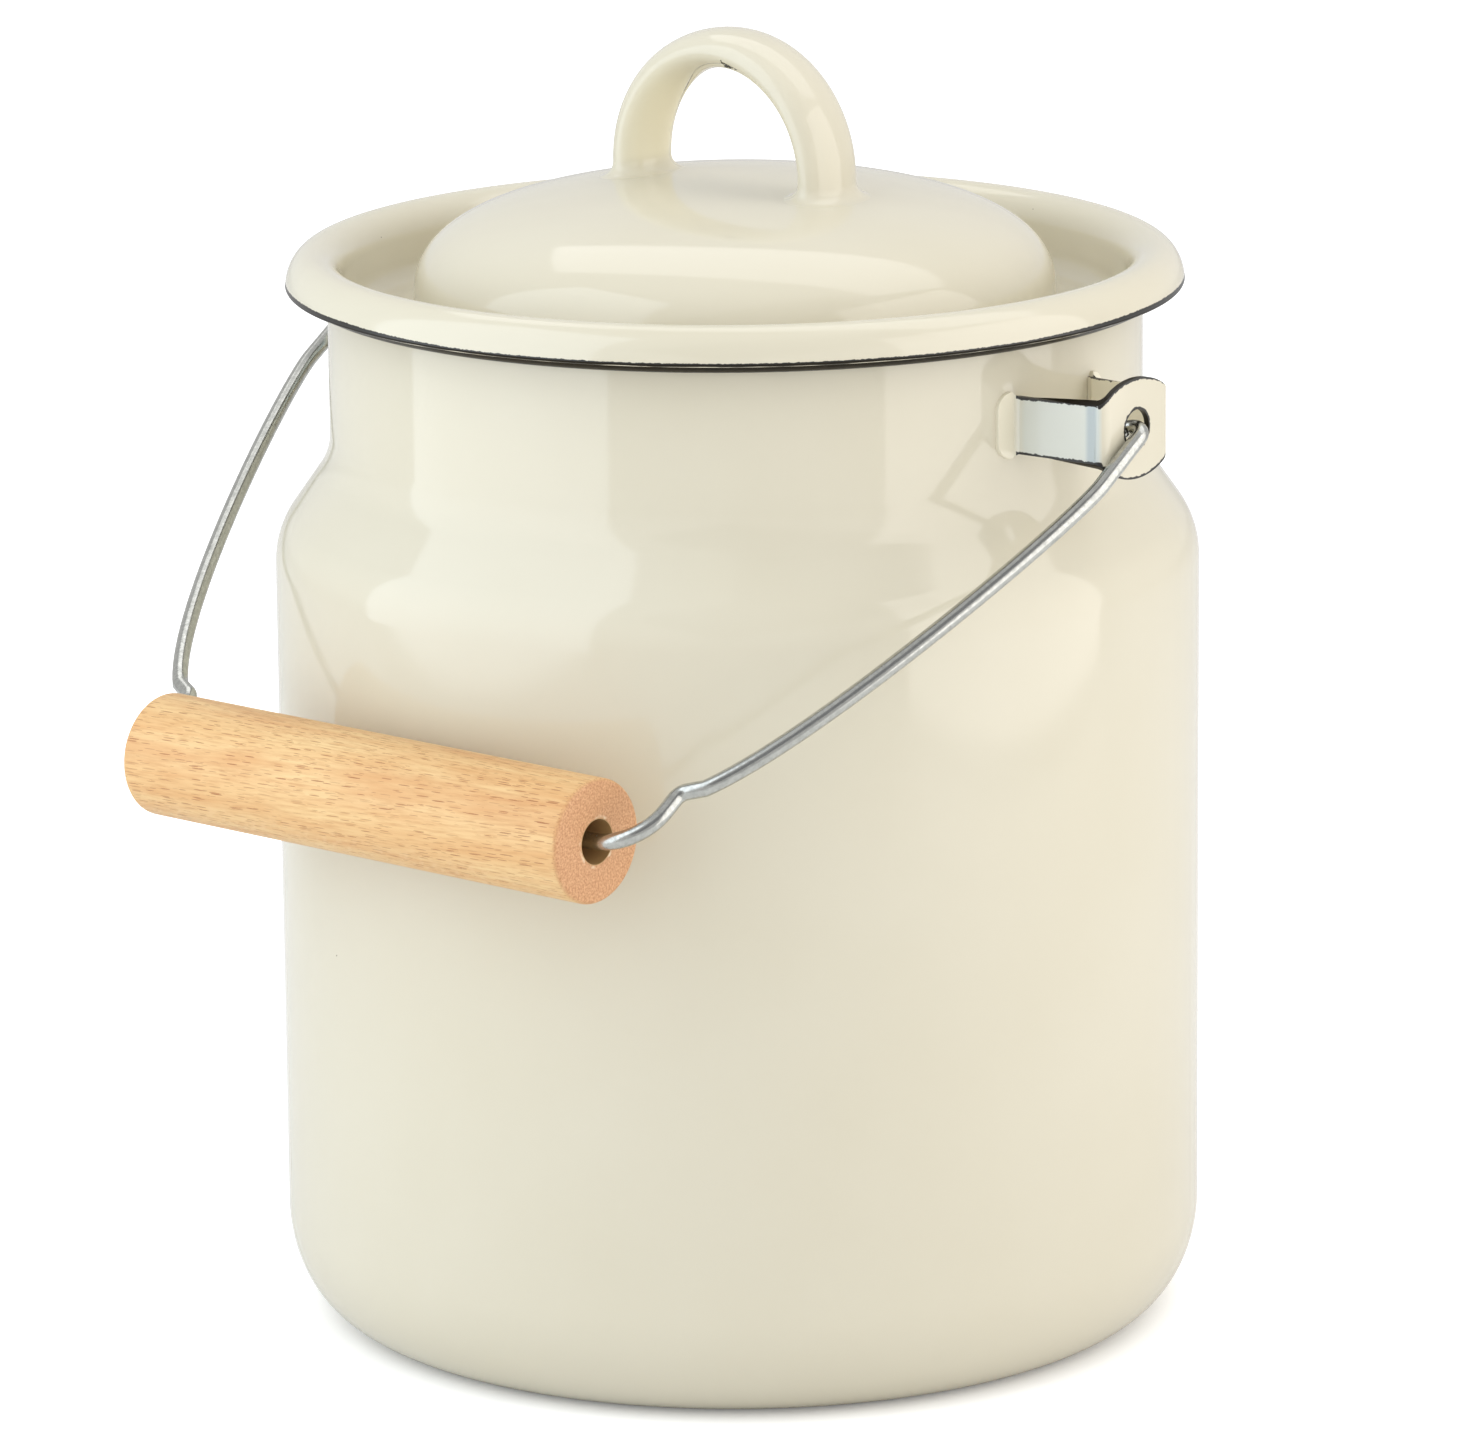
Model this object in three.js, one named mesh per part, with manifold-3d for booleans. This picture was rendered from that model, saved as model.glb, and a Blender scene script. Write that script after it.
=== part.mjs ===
// An enamelled steel milk can: a shouldered can with a rolled rim, a loose lid with a rolled strip
// handle, two bent strap ears, and a wire bail that carries a turned beech grip.
// Millimetres, +Z up. The origin is the centre of the flat base. The ears are on the X axis, and the
// bail hangs towards -Y with its grip against the side of the can.
import * as THREE from "three";
import { mergeVertices } from "three/addons/utils/BufferGeometryUtils.js";
import Module from "manifold-3d";

const wasm = await Module();
wasm.setup();

const radians = THREE.MathUtils.degToRad;
const quarterTurn = Math.PI / 2;

// Shared by all the sheet metal
const sheetWall = 1;
const restGap = 0.3; // between pieces that touch
const roundFacets = 48;
const cutOverrun = 1; // how far a cutting outline passes what it cuts

// Can
const bodyRadius = 80;
const baseCornerWidth = 13.5; // the rounded corner, measured along the base
const baseCornerHeight = 19;
const sideHeight = 133.7; // where the straight side ends
const shoulderInset = 9.8; // from the side in to the neck
const shoulderRound = 15.1;
const shoulderSlope = radians(35.1); // from upright
const neckRound = 12.2;
const neckHeight = 30.4; // upright neck, with its rim
const rimWidth = 6;
const rimHeight = 6.6;

// Lid
const lidRimPlay = 0.7; // between the flange and the outside of the rim
const lidNeckPlay = 0.6; // between the well and the inside of the neck
const flangeDepth = 6.2; // from the crown of the flange down to its cut edge
const flangeLipHeight = 5;
const wellDepth = 12.8; // from the crown of the flange down to the channel
const wellRound = 4;
const domeInset = 12.2; // from the well's wall in to the dome
const domeFootRound = 4;
const domeRise = 24; // from the channel up to the top of the dome
const domeSquareness = 2.6; // 2 would be an ellipse

// Lid handle
const handleSpan = 41.7; // between the centres of its feet
const handleRise = 23; // from the top of the dome to the middle of the strip
const stripWidth = 13.2;
const stripThickness = 6.9;
const seamWidth = 0.9;
const seamDepth = 0.7;
const footFillet = 2.4; // how high the fillet climbs from the dome
const footFlare = 2.6; // and how far it spreads
const leastUpright = 0.05; // of each leg, between its fillet and the arch

// Bail ears
const earThickness = 1;
const earStandoff = 17.1; // from the neck out to the middle of the eye's plate
const earRise = 10.6; // from the foot of the neck up to the eye
const eyeDiameter = 17.1;
const eyeHoleDiameter = 6.4;
const strapHeight = 9.8;
const strapBlend = 5; // between the eye and the strap
const earHalfWidth = 8.6; // to the middle of each leg, at the eye
const earFootHalfWidth = 9.9; // to the middle of each leg, at the neck
const eyeBendRound = 1.1; // inside the bends beside the eye
const footBendRound = 0.5; // inside the bends from the legs into the tabs
const tabLength = 4.2;
const tabHeight = 11.4;
const tabRound = 3;
const tabBlend = 0.6; // between the strap and the taller tab

// Bail wire and grip
const wireDiameter = 2.8;
const hookTail = 2.4; // straight end of the hook behind the plate
const gripDrop = 59.3; // from the eyes down to the grip
const gripLength = 98;
const gripDiameter = 21;
const gripBore = 7.6;
const gripEdgeRound = 0.9;
const gripSlide = 2; // the grip has slid this far towards -X on the wire
const kinkOut = 6.3; // from the grip's end to the upright part of the kink
const kinkDepth = 13.3; // from the grip's axis up to the kink's upper bend
const kinkRound = 2.2;
const mouthRound = 9; // the bend from the kink into the grip
const legShoulder = 14; // from the eye down to where the leg starts to bow
const legKnee = 4.1; // from the kink out to the end of the bowed leg
const kneeRiseShare = 0.5; // how far the wire rises on that way, of its length
const legTurnShare = 0.105; // how far the leg's upper tangent runs, of its drop
const legInShare = 0.467; // how far its lower tangent runs, of its way in
const legUpShare = 0.195; // and of its drop

// Derived sizes of the can
const neckRadius = bodyRadius - shoulderInset;
const slopeRise =
  (shoulderInset - (shoulderRound + neckRound) * (1 - Math.cos(shoulderSlope))) /
  Math.tan(shoulderSlope);
const neckFoot = sideHeight + (shoulderRound + neckRound) * Math.sin(shoulderSlope) + slopeRise;
const rimTop = neckFoot + neckHeight;
const rimRadius = neckRadius - sheetWall / 2 + rimWidth / 2; // middle of the roll
const rimMiddle = rimTop - rimHeight / 2;

// Derived sizes of the lid
const crownHeight = rimTop + restGap + sheetWall;
const lidRadius = rimRadius + rimWidth / 2 + lidRimPlay + sheetWall;
const wellRadius = neckRadius - sheetWall - lidNeckPlay - sheetWall;
const channelHeight = crownHeight - wellDepth;
const domeRadius = wellRadius - domeInset;
const domeFoot = channelHeight + domeFootRound;
const domeTop = channelHeight + domeRise;

// Derived sizes of the ears and the bail
const eyeHeight = neckFoot + earRise;
const eyeRadius = neckRadius + earStandoff; // from the can's axis to the middle of the eye's plate
const gripRadius = gripDiameter / 2;
const gripReach = bodyRadius + gripRadius + restGap;
const bailLength = Math.hypot(gripReach, gripDrop);
const bailAngle = Math.atan2(gripReach, gripDrop); // from hanging straight down
const hookTurn = earThickness / 2 + restGap + wireDiameter / 2; // radius of the turn through the eye

// Points on an elliptical arc in a drawing plane
function arc(centreX, centreY, radiusX, radiusY, start, end, steps) {
  return Array.from({ length: steps + 1 }, (_, i) => {
    const angle = start + ((end - start) * i) / steps;
    return new THREE.Vector2(
      centreX + radiusX * Math.cos(angle),
      centreY + radiusY * Math.sin(angle),
    );
  });
}

// The line at a set distance to the left of a drawn line
function offsetLine(points, distance) {
  return points.map((point, i) => {
    const before = points[Math.max(i - 1, 0)];
    const after = points[Math.min(i + 1, points.length - 1)];
    const incoming = point.clone().sub(before).normalize();
    const outgoing = after.clone().sub(point).normalize();
    const along = incoming.clone().add(outgoing).normalize();
    const stretch = i > 0 && i < points.length - 1 ? along.dot(outgoing) : 1;
    return new THREE.Vector2(
      point.x - (along.y * distance) / stretch,
      point.y + (along.x * distance) / stretch,
    );
  });
}

// A drawn line through corners, each rounded by its own radius
function roundedLine(corners, rounds, steps) {
  return corners.flatMap((corner, i) => {
    if (i === 0 || i === corners.length - 1) return [corner];
    const back = corners[i - 1].clone().sub(corner).normalize();
    const forth = corners[i + 1].clone().sub(corner).normalize();
    const half = Math.acos(THREE.MathUtils.clamp(back.dot(forth), -1, 1)) / 2;
    const middle = back.clone().add(forth).normalize();
    const centre = corner.clone().addScaledVector(middle, rounds[i - 1] / Math.sin(half));
    const reach = rounds[i - 1] / Math.tan(half);
    const start = corner.clone().addScaledVector(back, reach).sub(centre);
    const end = corner.clone().addScaledVector(forth, reach).sub(centre);
    const turn = Math.atan2(start.cross(end), start.dot(end));
    return Array.from({ length: steps + 1 }, (_, k) =>
      start.clone().rotateAround(new THREE.Vector2(), (turn * k) / steps).add(centre),
    );
  });
}

// Turns a profile of (radius, height) points about the Z axis
function revolve(profile, facets) {
  return new THREE.LatheGeometry(profile, facets).rotateX(quarterTurn);
}

// Skins rings of points and closes both ends
function loft(rings) {
  const count = rings[0].length;
  const middles = [rings[0], rings.at(-1)].map((ring) =>
    ring.reduce((sum, point) => sum.add(point), new THREE.Vector3()).divideScalar(count),
  );
  const indices = [];
  rings.slice(1).forEach((_, row) => {
    for (let k = 0; k < count; k++) {
      const a = row * count + k;
      const b = row * count + ((k + 1) % count);
      indices.push(a, b, a + count, b, b + count, a + count);
    }
  });
  const firstMiddle = rings.length * count;
  for (let k = 0; k < count; k++) {
    const next = (k + 1) % count;
    const lastRow = firstMiddle - count;
    indices.push(firstMiddle, next, k, firstMiddle + 1, lastRow + k, lastRow + next);
  }
  return new THREE.BufferGeometry()
    .setFromPoints([...rings.flat(), ...middles])
    .setIndex(indices);
}

// A closed geometry as a solid that can be cut and joined
function solidOf(geometry) {
  const bare = geometry.clone();
  bare.deleteAttribute("normal");
  bare.deleteAttribute("uv");
  const merged = mergeVertices(bare);
  return new wasm.Manifold(
    new wasm.Mesh({
      numProp: 3,
      vertProperties: merged.attributes.position.array,
      triVerts: new Uint32Array(merged.index.array),
    }),
  );
}

function geometryOf(solid) {
  const mesh = solid.getMesh();
  const positions = new THREE.BufferAttribute(mesh.vertProperties, mesh.numProp);
  const geometry = new THREE.BufferGeometry()
    .setAttribute("position", positions)
    .setIndex(new THREE.BufferAttribute(mesh.triVerts, 1));
  geometry.computeVertexNormals();
  return geometry;
}

function canProfile() {
  const outside = [
    ...arc(
      bodyRadius - baseCornerWidth,
      baseCornerHeight,
      baseCornerWidth,
      baseCornerHeight,
      -quarterTurn,
      0,
      6,
    ),
    ...arc(
      bodyRadius - shoulderRound,
      sideHeight,
      shoulderRound,
      shoulderRound,
      0,
      shoulderSlope,
      5,
    ),
    ...arc(
      neckRadius + neckRound,
      neckFoot,
      neckRound,
      neckRound,
      Math.PI + shoulderSlope,
      Math.PI,
      5,
    ),
  ];
  const inside = offsetLine([new THREE.Vector2(0, 0), ...outside], sheetWall);
  const rollStart = -Math.acos((neckRadius - rimRadius) / (rimWidth / 2));
  const roll = arc(rimRadius, rimMiddle, rimWidth / 2, rimHeight / 2, rollStart, quarterTurn, 8);
  const mouthRadius = neckRadius - sheetWall;
  const mouth = arc(
    rimRadius,
    rimMiddle,
    rimRadius - mouthRadius,
    rimHeight / 2,
    quarterTurn,
    Math.PI,
    4,
  );
  return [new THREE.Vector2(0, 0), ...outside, ...roll, ...mouth.slice(1), ...inside.reverse()];
}

// The top face of the lid, from its cut edge in to the middle of the dome
function lidTopFace() {
  const flangeEdge = crownHeight - flangeDepth;
  const flangeHalf = lidRadius - rimRadius;
  const dome = arc(0, 0, 1, 1, 0, quarterTurn, 9).map(
    (unit) =>
      new THREE.Vector2(
        domeRadius * Math.max(unit.x, 0) ** (2 / domeSquareness),
        domeFoot + (domeTop - domeFoot) * unit.y ** (2 / domeSquareness),
      ),
  );
  dome.at(-1).x = 0;
  return [
    ...arc(rimRadius, flangeEdge, flangeHalf, flangeDepth, 0, quarterTurn, 5),
    ...arc(
      rimRadius,
      crownHeight - flangeLipHeight,
      rimRadius - wellRadius,
      flangeLipHeight,
      quarterTurn,
      Math.PI,
      4,
    ).slice(1),
    ...arc(
      wellRadius - wellRound,
      channelHeight + wellRound,
      wellRound,
      wellRound,
      0,
      -quarterTurn,
      4,
    ),
    ...arc(
      domeRadius + domeFootRound,
      domeFoot,
      domeFootRound,
      domeFootRound,
      -quarterTurn,
      -Math.PI,
      3,
    ),
    ...dome.slice(1),
  ];
}

function lidProfile() {
  const top = lidTopFace();
  const under = offsetLine(top, sheetWall);
  under.at(-1).x = 0;
  return [...under.reverse(), ...top];
}

// The strip's section: an oval that is flat across, with the seam where its rolled edges meet.
// x runs across the strip and y away from the middle of the arch.
function stripSection(growth) {
  const sides = 18;
  const oval = arc(
    0,
    0,
    stripWidth / 2 + growth,
    stripThickness / 2 + growth,
    -quarterTurn,
    Math.PI + quarterTurn,
    sides,
  ).slice(1, -1);
  const face = -stripThickness / 2 - growth;
  return [
    new THREE.Vector2(seamWidth / 2, face),
    ...oval,
    new THREE.Vector2(-seamWidth / 2, face),
    new THREE.Vector2(0, face + seamDepth),
  ];
}

function handleGeometry() {
  const archRadius = handleSpan / 2;
  const domeShare = (1 - (archRadius / domeRadius) ** domeSquareness) ** (1 / domeSquareness);
  const footLevel = domeFoot + (domeTop - domeFoot) * domeShare + restGap;
  // a half circle, or a flatter oval where the feet are too far apart for one
  const roomOverFeet = domeTop + handleRise - footLevel - footFillet - leastUpright;
  const archRise = Math.min(archRadius, roomOverFeet);
  const archHeight = domeTop + handleRise - archRise;
  const heightShares = [-1, -0.5, 0, 0.2, 0.45, 0.75, 1]; // of the fillet
  const leg = heightShares.map((share) => ({
    rise: share * footFillet,
    growth: footFlare * (1 - Math.sqrt(1 - Math.min(1 - share, 1) ** 2)),
  }));
  const stations = [
    ...leg.map(({ rise, growth }) => ({
      growth,
      centre: new THREE.Vector3(-archRadius, 0, footLevel + rise),
      outward: new THREE.Vector3(-1, 0, 0),
    })),
    ...arc(0, 0, 1, 1, Math.PI, 0, 22).map((unit) => ({
      growth: 0,
      centre: new THREE.Vector3(archRadius * unit.x, 0, archHeight + archRise * unit.y),
      outward: new THREE.Vector3(archRise * unit.x, 0, archRadius * unit.y).normalize(),
    })),
    ...leg.reverse().map(({ rise, growth }) => ({
      growth,
      centre: new THREE.Vector3(archRadius, 0, footLevel + rise),
      outward: new THREE.Vector3(1, 0, 0),
    })),
  ];
  const rings = stations.map(({ growth, centre, outward }) =>
    stripSection(growth).map((point) =>
      centre
        .clone()
        .addScaledVector(outward, point.y)
        .add(new THREE.Vector3(0, point.x, 0)),
    ),
  );
  const strip = solidOf(loft(rings));
  const raised = offsetLine(lidTopFace(), -restGap);
  raised.at(-1).x = 0;
  const dome = solidOf(revolve([new THREE.Vector2(0, 0), ...raised], roundFacets));
  return geometryOf(strip.subtract(dome));
}

// The ear seen from above, in its own frame: x out from the can's axis, y across the ear
function earPlan() {
  const tabRadius = neckRadius + restGap + earThickness / 2;
  const footAngle = Math.asin(earFootHalfWidth / tabRadius);
  const tabEnd = footAngle + (tabLength + cutOverrun) / tabRadius;
  const half = [
    new THREE.Vector2(tabRadius * Math.cos(tabEnd), tabRadius * Math.sin(tabEnd)),
    new THREE.Vector2(tabRadius * Math.cos(footAngle), earFootHalfWidth),
    new THREE.Vector2(eyeRadius, earHalfWidth),
  ];
  const mirrored = half.map((point) => new THREE.Vector2(point.x, -point.y)).reverse();
  const insideRounds = [footBendRound, eyeBendRound, eyeBendRound, footBendRound];
  const bends = insideRounds.map((round) => round + earThickness / 2);
  const middle = roundedLine([...half, ...mirrored], bends, 4);
  const nearFace = offsetLine(middle, earThickness / 2);
  const farFace = offsetLine(middle, -earThickness / 2);
  return new THREE.Shape([...nearFace, ...farFace.reverse()]);
}

// The ear seen from outside: the strap, the round eye and its hole, as (y, z) about the eye's middle
function earFace() {
  const eyeRound = eyeDiameter / 2;
  const halfStrap = strapHeight / 2;
  const halfTab = tabHeight / 2;
  const tabReach = earFootHalfWidth + tabLength;
  const legFace = earFootHalfWidth + earThickness / 2;
  const blendCentre = Math.sqrt((eyeRound + strapBlend) ** 2 - (halfStrap + strapBlend) ** 2);
  const blendAngle = Math.atan2(halfStrap + strapBlend, blendCentre);
  const corner = [
    ...arc(tabReach - tabRound, halfTab - tabRound, tabRound, tabRound, 0, quarterTurn, 4),
    new THREE.Vector2(legFace + tabBlend, halfTab),
    new THREE.Vector2(legFace, halfStrap),
    ...arc(
      blendCentre,
      halfStrap + strapBlend,
      strapBlend,
      strapBlend,
      -quarterTurn,
      -Math.PI + blendAngle,
      4,
    ),
  ];
  const eyeTop = arc(0, 0, eyeRound, eyeRound, blendAngle, Math.PI - blendAngle, 12);
  const across = corner.map((point) => new THREE.Vector2(-point.x, point.y)).reverse();
  const upper = [...corner, ...eyeTop.slice(1, -1), ...across];
  const lower = upper.map((point) => new THREE.Vector2(-point.x, -point.y));
  const face = new THREE.Shape([...upper, ...lower]);
  const hole = arc(0, 0, eyeHoleDiameter / 2, eyeHoleDiameter / 2, 0, 2 * Math.PI, 20);
  face.holes.push(new THREE.Path(hole.slice(1)));
  return face;
}

function earGeometry() {
  const plan = new THREE.ExtrudeGeometry(earPlan(), {
    depth: eyeDiameter,
    bevelEnabled: false,
  }).translate(0, 0, -eyeDiameter / 2);
  const face = new THREE.ExtrudeGeometry(earFace(), {
    depth: eyeRadius + earThickness / 2 + cutOverrun,
    bevelEnabled: false,
  })
    .rotateX(quarterTurn)
    .rotateZ(quarterTurn);
  return geometryOf(solidOf(plan).intersect(solidOf(face)));
}

// One side of the wire in the bail's own plane, from the hook's tail to the middle of the grip:
// x out from the can's axis and y down from the eyes
function wireHalf() {
  const outer = eyeRadius + hookTurn;
  const inner = eyeRadius - hookTurn;
  const upright = gripLength / 2 + kinkOut;
  const kinkTop = bailLength - kinkDepth;
  const legStart = new THREE.Vector2(outer, legShoulder);
  const legEnd = new THREE.Vector2(upright + legKnee, kinkTop - legKnee * kneeRiseShare);
  const legDrop = legEnd.y - legStart.y;
  const legIn = legStart.x - legEnd.x;
  const leg = new THREE.CubicBezierCurve(
    legStart,
    new THREE.Vector2(outer, legStart.y + legDrop * legTurnShare),
    new THREE.Vector2(legEnd.x + legIn * legInShare, legEnd.y - legDrop * legUpShare),
    legEnd,
  );
  return [
    new THREE.Vector2(inner, hookTurn + hookTail),
    ...arc(eyeRadius, hookTurn, hookTurn, hookTurn, Math.PI, 2 * Math.PI, 10),
    ...leg.getPoints(16),
    ...roundedLine(
      [
        legEnd,
        new THREE.Vector2(upright, kinkTop),
        new THREE.Vector2(upright, bailLength),
        new THREE.Vector2(0, bailLength),
      ],
      [kinkRound, mouthRound],
      5,
    ).slice(1, -1),
  ];
}

// A curve whose evenly spaced points are the drawn points themselves
class DrawnCurve extends THREE.Curve {
  constructor(points) {
    super();
    this.points = points;
  }

  getUtoTmapping(u) {
    return u;
  }

  getPoint(t, target = new THREE.Vector3()) {
    const place = t * (this.points.length - 1);
    const i = Math.min(Math.floor(place), this.points.length - 2);
    return target.lerpVectors(this.points[i], this.points[i + 1], place - i);
  }

  getTangent(t, target = new THREE.Vector3()) {
    const i = Math.round(t * (this.points.length - 1));
    const here = this.points[i];
    const before = this.points[Math.max(i - 1, 0)];
    const after = this.points[Math.min(i + 1, this.points.length - 1)];
    const incoming = here.clone().sub(before).normalize();
    return target.copy(after).sub(here).normalize().add(incoming).normalize();
  }
}

function wireGeometry() {
  const right = wireHalf().map((point) => new THREE.Vector3(point.x, 0, -point.y));
  const left = right.map((point) => new THREE.Vector3(-point.x, 0, point.z)).reverse();
  const route = new DrawnCurve([...right, ...left]);
  const round = new THREE.Shape(
    arc(0, 0, wireDiameter / 2, wireDiameter / 2, 0, 2 * Math.PI, 8).slice(1),
  );
  return new THREE.ExtrudeGeometry(round, {
    steps: route.points.length - 1,
    extrudePath: route,
    bevelEnabled: false,
  });
}

function gripGeometry() {
  const halfLength = gripLength / 2;
  const edge = (end, start, finish) =>
    arc(
      gripRadius - gripEdgeRound,
      end * (halfLength - gripEdgeRound),
      gripEdgeRound,
      gripEdgeRound,
      start,
      finish,
      3,
    );
  const bore = gripBore / 2;
  const profile = [
    new THREE.Vector2(bore, -halfLength),
    ...edge(-1, -quarterTurn, 0),
    ...edge(1, 0, quarterTurn),
    new THREE.Vector2(bore, halfLength),
    new THREE.Vector2(bore, -halfLength),
  ];
  return revolve(profile, roundFacets / 2).rotateY(quarterTurn);
}

function finish(color, roughness, metalness) {
  return new THREE.MeshStandardMaterial({ color, roughness, metalness });
}

function named(name, geometry, material) {
  const mesh = new THREE.Mesh(geometry, material);
  mesh.name = name;
  return mesh;
}

const enamel = () => finish(0xf0ecd2, 0.15, 0);
const zincWire = () => finish(0xb4b8ba, 0.35, 1);
const beech = () => finish(0xe0ae72, 0.6, 0);

const milkCan = new THREE.Group();
milkCan.add(named("can_body", revolve(canProfile(), roundFacets), enamel()));

const lid = new THREE.Group();
lid.add(named("lid_shell", revolve(lidProfile(), roundFacets), enamel()));
lid.add(named("lid_handle", handleGeometry(), enamel()));
milkCan.add(lid);

["right", "left"].forEach((side, i) => {
  const ear = named(`bail_ear_${side}`, earGeometry(), enamel());
  ear.position.z = eyeHeight;
  ear.rotation.z = i * Math.PI;
  milkCan.add(ear);
});

const bail = new THREE.Group();
bail.position.z = eyeHeight;
bail.rotation.x = -bailAngle;
bail.add(named("bail_wire", wireGeometry(), zincWire()));
const grip = named("wooden_grip", gripGeometry(), beech());
grip.position.set(-gripSlide, 0, -bailLength);
bail.add(grip);
milkCan.add(bail);

export default milkCan;
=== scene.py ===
import math
from functools import partial

import bpy
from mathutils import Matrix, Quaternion, Vector


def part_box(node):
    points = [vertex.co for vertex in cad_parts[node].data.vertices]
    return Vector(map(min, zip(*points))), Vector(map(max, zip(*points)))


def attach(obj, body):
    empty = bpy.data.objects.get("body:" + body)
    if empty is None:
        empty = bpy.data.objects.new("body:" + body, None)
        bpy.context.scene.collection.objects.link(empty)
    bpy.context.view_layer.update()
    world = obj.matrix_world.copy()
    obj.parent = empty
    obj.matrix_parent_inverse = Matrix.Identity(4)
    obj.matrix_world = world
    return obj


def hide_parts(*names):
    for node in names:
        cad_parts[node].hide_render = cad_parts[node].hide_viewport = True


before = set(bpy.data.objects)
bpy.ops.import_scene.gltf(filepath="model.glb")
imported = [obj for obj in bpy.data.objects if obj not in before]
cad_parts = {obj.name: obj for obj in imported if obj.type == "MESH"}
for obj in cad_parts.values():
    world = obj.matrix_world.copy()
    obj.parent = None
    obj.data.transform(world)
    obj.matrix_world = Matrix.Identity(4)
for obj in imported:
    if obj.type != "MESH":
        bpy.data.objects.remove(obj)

# Enamel milk can: the looks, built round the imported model. Metres, +Z up, origin at the base.
# The dictionaries below give sizes in millimetres and angles in degrees.
mm = 0.001
quarter = math.pi / 2
weld = 0.002 * mm  # points closer than this are merged
restGap = 0.3  # between pieces that touch
scene = bpy.context.scene
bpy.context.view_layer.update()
canHigh, lidHigh, archHigh, earHigh = [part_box(node)[1] for node in (
    "can_body", "lid_shell", "lid_handle", "bail_ear_right")]
gripLow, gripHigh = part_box("wooden_grip")
print("frame loaded:", sorted(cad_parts))


# Helpers

def setMode(mode):
    bpy.ops.object.mode_set(mode=mode)


def deselectAll():
    if bpy.context.mode != "OBJECT":
        setMode("OBJECT")
    bpy.ops.object.select_all(action="DESELECT")


def selectOnly(piece):
    deselectAll()
    piece.select_set(True)
    bpy.context.view_layer.objects.active = piece


# opens the active mesh with all of it selected
def editAll():
    setMode("EDIT")
    bpy.ops.mesh.select_all(action="SELECT")


# clears the active mesh's selection, so that code can make its own
def clearSelection():
    setMode("EDIT")
    bpy.ops.mesh.select_all(action="DESELECT")
    setMode("OBJECT")


# points on an elliptical arc of a drawing plane, as (across, up)
def arc(centre, radii, start, end, steps):
    angles = [start + (end - start) * i / steps for i in range(steps + 1)]
    return [(centre[0] + radii[0] * math.cos(a), centre[1] + radii[1] * math.sin(a)) for a in angles]


# the line at a set distance to the left of another
def offsetLine(points, distance):
    line = [Vector(p) for p in points]
    moved = []
    for i, point in enumerate(line):
        before, after = line[max(i - 1, 0)], line[min(i + 1, len(line) - 1)]
        incoming, outgoing = (point - before).normalized(), (after - point).normalized()
        along = (incoming + outgoing).normalized()
        stretch = along.dot(outgoing) if 0 < i < len(line) - 1 else 1
        moved.append((point.x - along.y * distance / stretch, point.y + along.x * distance / stretch))
    return moved


# a line through corners, each rounded by its own radius
def roundedLine(corners, rounds, steps):
    line = [tuple(corners[0])]
    for i, radius in enumerate(rounds, 1):
        corner = Vector(corners[i])
        back = (Vector(corners[i - 1]) - corner).normalized()
        forth = (Vector(corners[i + 1]) - corner).normalized()
        halfAngle = back.angle(forth) / 2
        centre = corner + (back + forth).normalized() * radius / math.sin(halfAngle)
        start = corner + back * radius / math.tan(halfAngle) - centre
        end = corner + forth * radius / math.tan(halfAngle) - centre
        turn = math.atan2(start.x * end.y - start.y * end.x, start.dot(end))
        for k in range(steps + 1):
            c, s = math.cos(turn * k / steps), math.sin(turn * k / steps)
            line.append((centre.x + start.x * c - start.y * s, centre.y + start.x * s + start.y * c))
    return line + [tuple(corners[-1])]


def addPlane(name, size, place=(0, 0, 0)):
    deselectAll()
    bpy.ops.mesh.primitive_plane_add(size=size, location=place)
    plane = bpy.context.object
    plane.name = plane.data.name = name
    return plane


def pullOut(step):
    bpy.ops.mesh.extrude_region_move(TRANSFORM_OT_translate={"value": step})


# one vertex pulled from point to point; the object stays in edit mode
def drawLine(name, points):
    piece = addPlane(name, mm)
    editAll()
    bpy.ops.mesh.merge(type="CENTER")
    bpy.ops.transform.translate(value=Vector(points[0]))
    for before, after in zip(points, points[1:]):
        pullOut(Vector(after) - Vector(before))
    return piece


# merges doubles, turns the faces outwards and shades the piece smooth below an angle
def closeShell(piece, angle=40):
    selectOnly(piece)
    editAll()
    bpy.ops.mesh.remove_doubles(threshold=weld)
    bpy.ops.mesh.normals_make_consistent()
    setMode("OBJECT")
    bpy.ops.object.shade_smooth_by_angle(angle=math.radians(angle))


# turns a profile of (radius, height) points in mm about the upright axis
def turnProfile(name, profile, steps):
    piece = drawLine(name, [(r * mm, 0, z * mm) for r, z in profile])
    editAll()
    bpy.ops.mesh.spin(steps=steps, angle=2 * math.pi, center=(0, 0, 0), axis=(0, 0, 1))
    closeShell(piece)
    return piece


def applyModifier(piece, kind, **settings):
    selectOnly(piece)
    modifier = piece.modifiers.new(kind.lower(), kind)
    for name, value in settings.items():
        setattr(modifier, name, value)
    bpy.ops.object.modifier_apply(modifier=modifier.name)


# puts the object's turn and place into its mesh, and hangs it on its body
def settle(piece, body, node, material):
    selectOnly(piece)
    bpy.ops.object.transform_apply(location=True, rotation=True, scale=True)
    piece.data.materials.clear()
    piece.data.materials.append(material)
    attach(piece, body)
    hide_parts(node)
    print(piece.name, "has", sum(len(p.vertices) - 2 for p in piece.data.polygons), "triangles")


# turns an object so that one of its axes points in a direction
def aimAlong(piece, direction, axis, roll=0):
    piece.rotation_mode = "QUATERNION"
    piece.rotation_quaternion = direction.to_track_quat(axis, "Y") @ Quaternion((0, 0, 1), math.radians(roll))


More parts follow.
